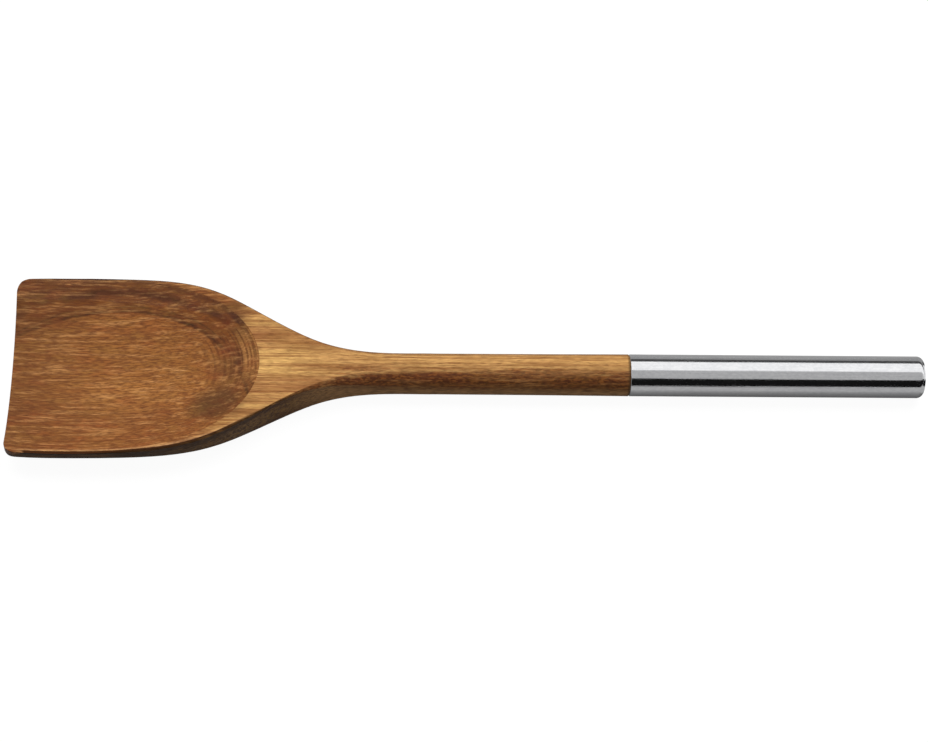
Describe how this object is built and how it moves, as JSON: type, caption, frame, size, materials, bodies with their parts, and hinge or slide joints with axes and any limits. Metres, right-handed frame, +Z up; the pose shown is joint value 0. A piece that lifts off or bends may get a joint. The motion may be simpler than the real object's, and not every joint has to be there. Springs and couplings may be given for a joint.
{
  "type": "cooking spoon",
  "caption": "Square-fronted wooden cooking spoon with a shallow hollow, a rounded neck and a capped tubular steel handle, for stirring, turning and serving.",
  "frame": {"origin": "on the surface that the spoon lies on, under the middle of its length", "axes": "+X from the front edge of the head to the butt of the handle, +Y across the head, +Z up out of the hollow"},
  "size_m": [0.326, 0.0726, 0.015],
  "materials": {
    "wood": "oiled satin",
    "glue": "cured adhesive",
    "steel": "polished"
  },
  "bodies": {
    "root": {"wooden_spoon": "wood", "glue_bond": "glue", "handle_tube": "steel", "end_cap": "steel"}
  },
  "joints": []
}
